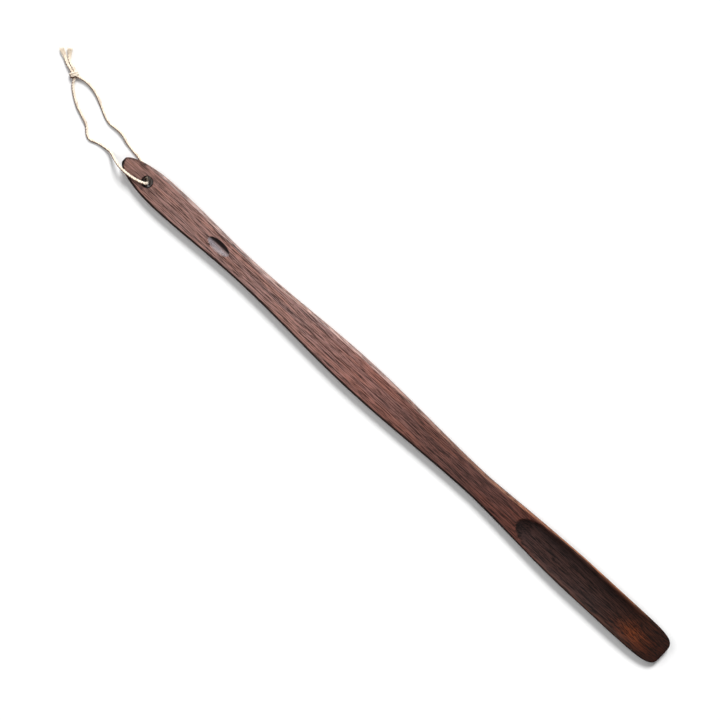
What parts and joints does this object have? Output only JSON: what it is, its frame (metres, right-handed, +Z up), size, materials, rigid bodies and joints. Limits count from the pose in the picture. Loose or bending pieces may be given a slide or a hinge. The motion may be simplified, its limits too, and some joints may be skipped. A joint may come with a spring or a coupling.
{
  "type": "long shoehorn",
  "caption": "Long one-piece wooden shoehorn with a hollowed blade, a slim swelling shaft, a thumb dimple and a knotted twine hanging loop through its handle.",
  "frame": {"origin": "under the middle of the wood's length and width, on the surface that its back rests on", "axes": "+X from the handle end to the blade tip, +Z out of the hollowed front face, +Y to the left when looking along +X with +Z up"},
  "size_m": [0.875, 0.0665, 0.016],
  "materials": {
    "stained_wood": "dark brown stain under a thin satin lacquer, open grain",
    "twine": "natural jute twine, twisted, with frayed ends"
  },
  "bodies": {
    "shoehorn": {"shoehorn_body": "stained_wood"},
    "hang_loop": {"twine_front_run": "twine", "twine_back_run": "twine", "twine_knot": "twine", "twine_tail_left": "twine", "twine_tail_right": "twine"}
  },
  "joints": [
    {"name": "loop_swing", "type": "hinge", "parent": "shoehorn", "child": "hang_loop", "pos_m": [-0.3416, 0, 0.008], "axis": [0, 0, 1], "range_deg": [-90, 90]}
  ]
}
